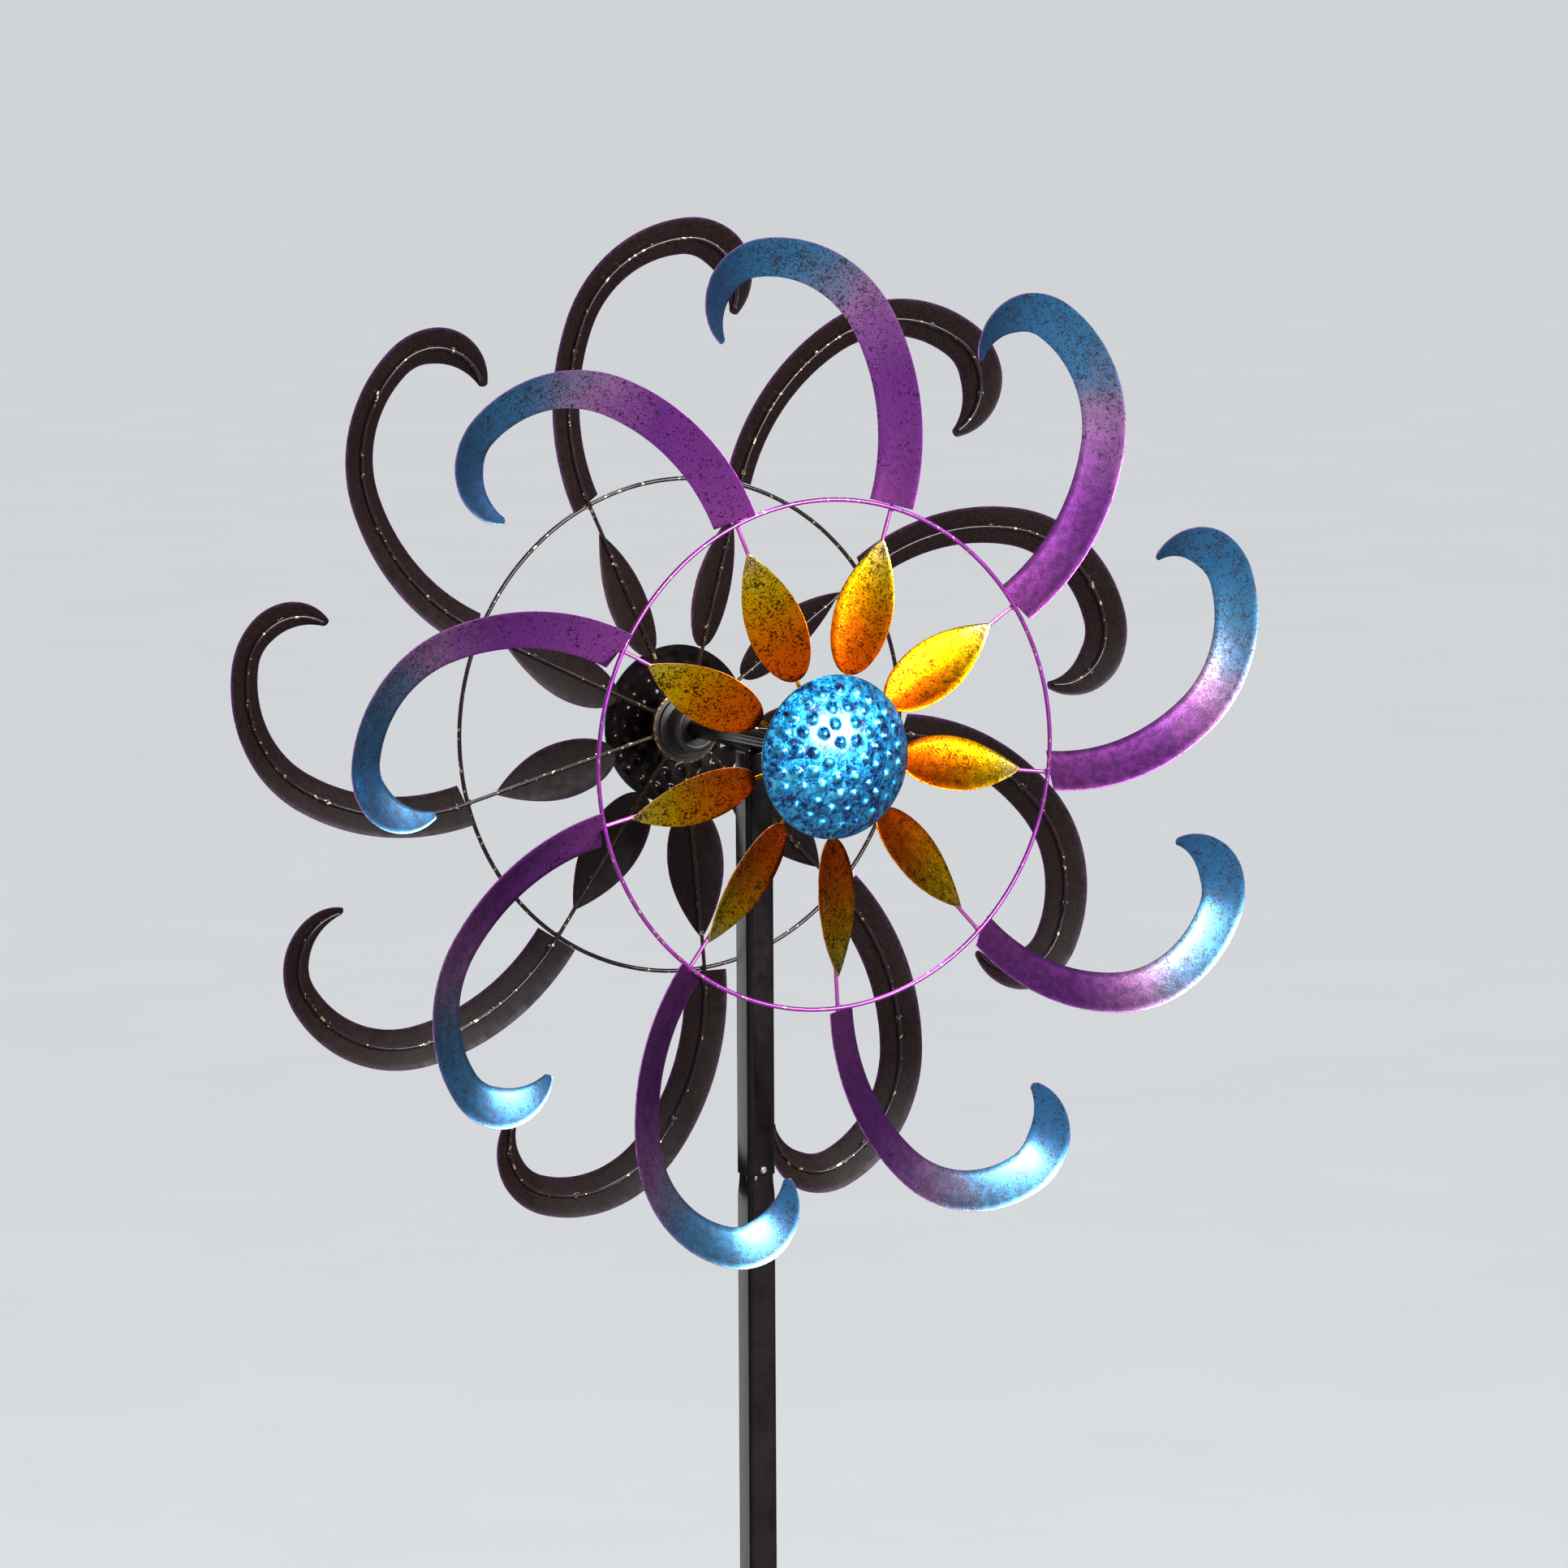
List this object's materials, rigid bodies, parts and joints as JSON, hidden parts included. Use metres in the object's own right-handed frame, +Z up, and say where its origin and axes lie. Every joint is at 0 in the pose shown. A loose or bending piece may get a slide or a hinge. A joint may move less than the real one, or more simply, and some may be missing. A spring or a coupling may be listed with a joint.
{
  "type": "wind spinner",
  "caption": "Twin-rotor garden wind spinner: two flower-shaped rotors of hooked blades and petals spin back to back on an axle above a square post with a ground fork.",
  "frame": {"origin": "on the post's axis at the soil line, where the ground fork's crossed bars rest on the soil", "axes": "+Z up along the post, -Y the front rotor's painted face, +X to the right seen from the front"},
  "size_m": [0.6202, 0.241, 1.9078],
  "materials": {
    "blade_paint": "gloss, purple at the root fading to teal and cobalt blue at the tip, with dark speckles; dark brown behind",
    "petal_paint": "gloss, rust orange at the inner end fading to yellow at the tip, with dark speckles; dark brown behind",
    "dome_paint": "gloss metallic blue over embossed bumps",
    "ring_paint": "gloss metallic purple",
    "wire_paint": "gloss, dark brown with purple and orange overspray",
    "hub_paint": "satin dark brown",
    "bearing_steel": "ground",
    "zinc_steel": "zinc plated",
    "post_paint": "satin dark bronze"
  },
  "bodies": {
    "stand": {"inner_races": "bearing_steel", "axle_washers": "zinc_steel", "axle_nuts": "zinc_steel", "axle_rod": "zinc_steel", "axle_tube": "post_paint", "post_upper": "post_paint", "post_middle": "post_paint", "post_lower": "post_paint", "joint_screws": "zinc_steel", "ground_fork": "post_paint"},
    "front_rotor": {"front_blade_1": "blade_paint", "front_blade_2": "blade_paint", "front_blade_3": "blade_paint", "front_blade_4": "blade_paint", "front_blade_5": "blade_paint", "front_blade_6": "blade_paint", "front_blade_7": "blade_paint", "front_blade_8": "blade_paint", "front_blade_9": "blade_paint", "front_petal_1": "petal_paint", "front_petal_2": "petal_paint", "front_petal_3": "petal_paint", "front_petal_4": "petal_paint", "front_petal_5": "petal_paint", "front_petal_6": "petal_paint", "front_petal_7": "petal_paint", "front_petal_8": "petal_paint", "front_petal_9": "petal_paint", "front_dome": "dome_paint", "front_ring": "ring_paint", "front_arm_wires": "wire_paint", "front_hub": "hub_paint", "front_outer_races": "bearing_steel"},
    "front_ball_set": {"front_balls": "bearing_steel"},
    "rear_rotor": {"rear_blade_1": "blade_paint", "rear_blade_2": "blade_paint", "rear_blade_3": "blade_paint", "rear_blade_4": "blade_paint", "rear_blade_5": "blade_paint", "rear_blade_6": "blade_paint", "rear_blade_7": "blade_paint", "rear_blade_8": "blade_paint", "rear_blade_9": "blade_paint", "rear_petal_1": "petal_paint", "rear_petal_2": "petal_paint", "rear_petal_3": "petal_paint", "rear_petal_4": "petal_paint", "rear_petal_5": "petal_paint", "rear_petal_6": "petal_paint", "rear_petal_7": "petal_paint", "rear_petal_8": "petal_paint", "rear_petal_9": "petal_paint", "rear_dome": "dome_paint", "rear_ring": "ring_paint", "rear_arm_wires": "wire_paint", "rear_hub": "hub_paint", "rear_outer_races": "bearing_steel"},
    "rear_ball_set": {"rear_balls": "bearing_steel"}
  },
  "joints": [
    {"name": "front_spin", "type": "hinge", "parent": "stand", "child": "front_rotor", "pos_m": [0, -0.0915, 1.4], "axis": [0, 1, 0], "continuous": true},
    {"name": "front_ball_roll", "type": "hinge", "parent": "stand", "child": "front_ball_set", "pos_m": [0, -0.0915, 1.4], "axis": [0, 1, 0], "continuous": true},
    {"name": "rear_spin", "type": "hinge", "parent": "stand", "child": "rear_rotor", "pos_m": [0, 0.0915, 1.4], "axis": [0, 1, 0], "continuous": true},
    {"name": "rear_ball_roll", "type": "hinge", "parent": "stand", "child": "rear_ball_set", "pos_m": [0, 0.0915, 1.4], "axis": [0, 1, 0], "continuous": true}
  ],
  "couplings": [
    {"joint": "front_ball_roll", "follows": "front_spin", "ratio": 0.6323},
    {"joint": "rear_ball_roll", "follows": "rear_spin", "ratio": 0.6323}
  ]
}
